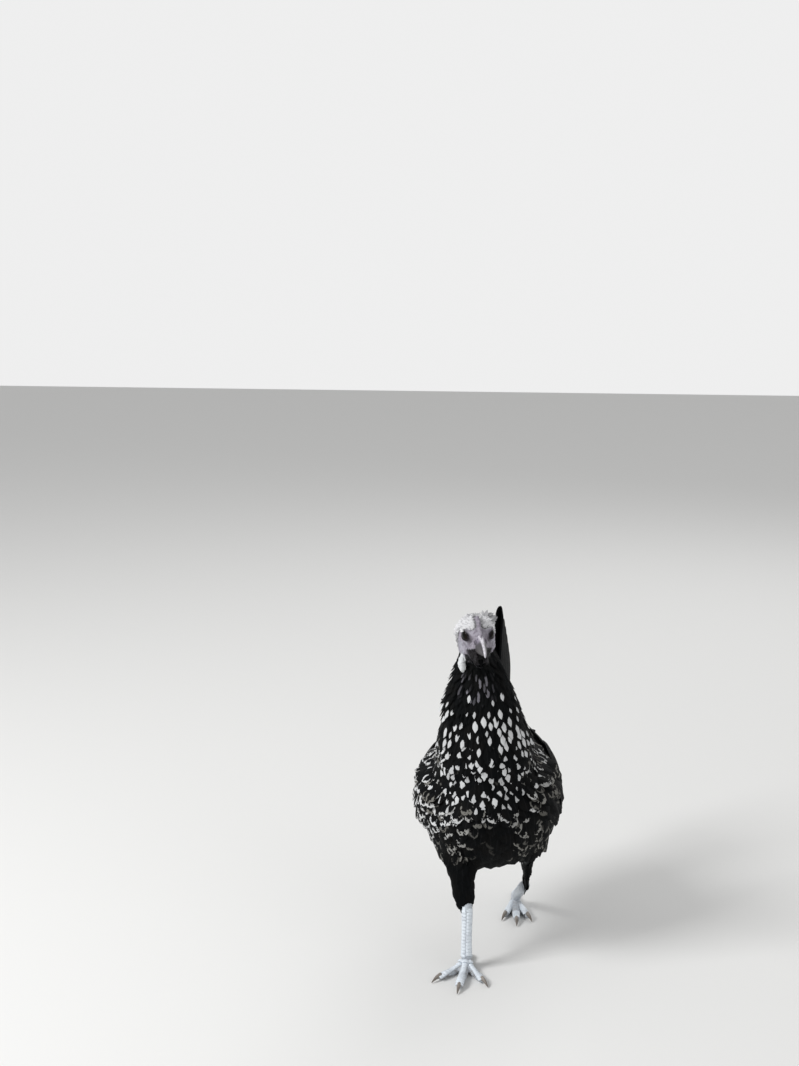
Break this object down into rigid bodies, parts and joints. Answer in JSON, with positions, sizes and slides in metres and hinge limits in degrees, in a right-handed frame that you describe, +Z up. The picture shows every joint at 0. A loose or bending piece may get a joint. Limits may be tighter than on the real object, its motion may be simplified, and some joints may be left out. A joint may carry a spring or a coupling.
{
  "type": "chicken",
  "caption": "Life-size hen walking with her right foot in front, upright tail and dark spangled feathers",
  "frame": {"origin": "on the floor under the middle of the bounding box", "axes": "+Z up, -Y the way the hen faces, +X towards her left side"},
  "size_m": [0.1406, 0.2836, 0.3339],
  "materials": {
    "black_feathers": "black feathers with a faint green sheen and grey lacing",
    "breast_feathers": "black feathers with pale grey spangles",
    "face_skin": "bare wrinkled pale lavender-grey skin",
    "earlobe_skin": "smooth white skin",
    "beak_horn": "pale satin horn",
    "claw_horn": "grey satin horn",
    "eye": "wet dark brown eye",
    "leg_scales": "satin blue-white scales"
  },
  "bodies": {
    "root": {"beak_lower": "beak_horn", "beak_upper": "beak_horn", "claw_hind_left": "claw_horn", "claw_hind_right": "claw_horn", "claw_inner_left": "claw_horn", "claw_inner_right": "claw_horn", "claw_middle_left": "claw_horn", "claw_middle_right": "claw_horn", "claw_outer_left": "claw_horn", "claw_outer_right": "claw_horn", "comb": "face_skin", "earlobe_left": "earlobe_skin", "earlobe_right": "earlobe_skin", "eye_left": "eye", "eye_right": "eye", "head": "face_skin", "neck": "black_feathers", "primaries_left": "black_feathers", "primaries_right": "black_feathers", "shank_left": "leg_scales", "shank_right": "leg_scales", "tail": "black_feathers", "thigh_left": "black_feathers", "thigh_right": "black_feathers", "toe_hind_left": "leg_scales", "toe_hind_right": "leg_scales", "toe_inner_left": "leg_scales", "toe_inner_right": "leg_scales", "toe_middle_left": "leg_scales", "toe_middle_right": "leg_scales", "toe_outer_left": "leg_scales", "toe_outer_right": "leg_scales", "trunk": "breast_feathers", "wattle_left": "face_skin", "wattle_right": "face_skin", "wing_left": "black_feathers", "wing_right": "black_feathers"}
  },
  "joints": []
}
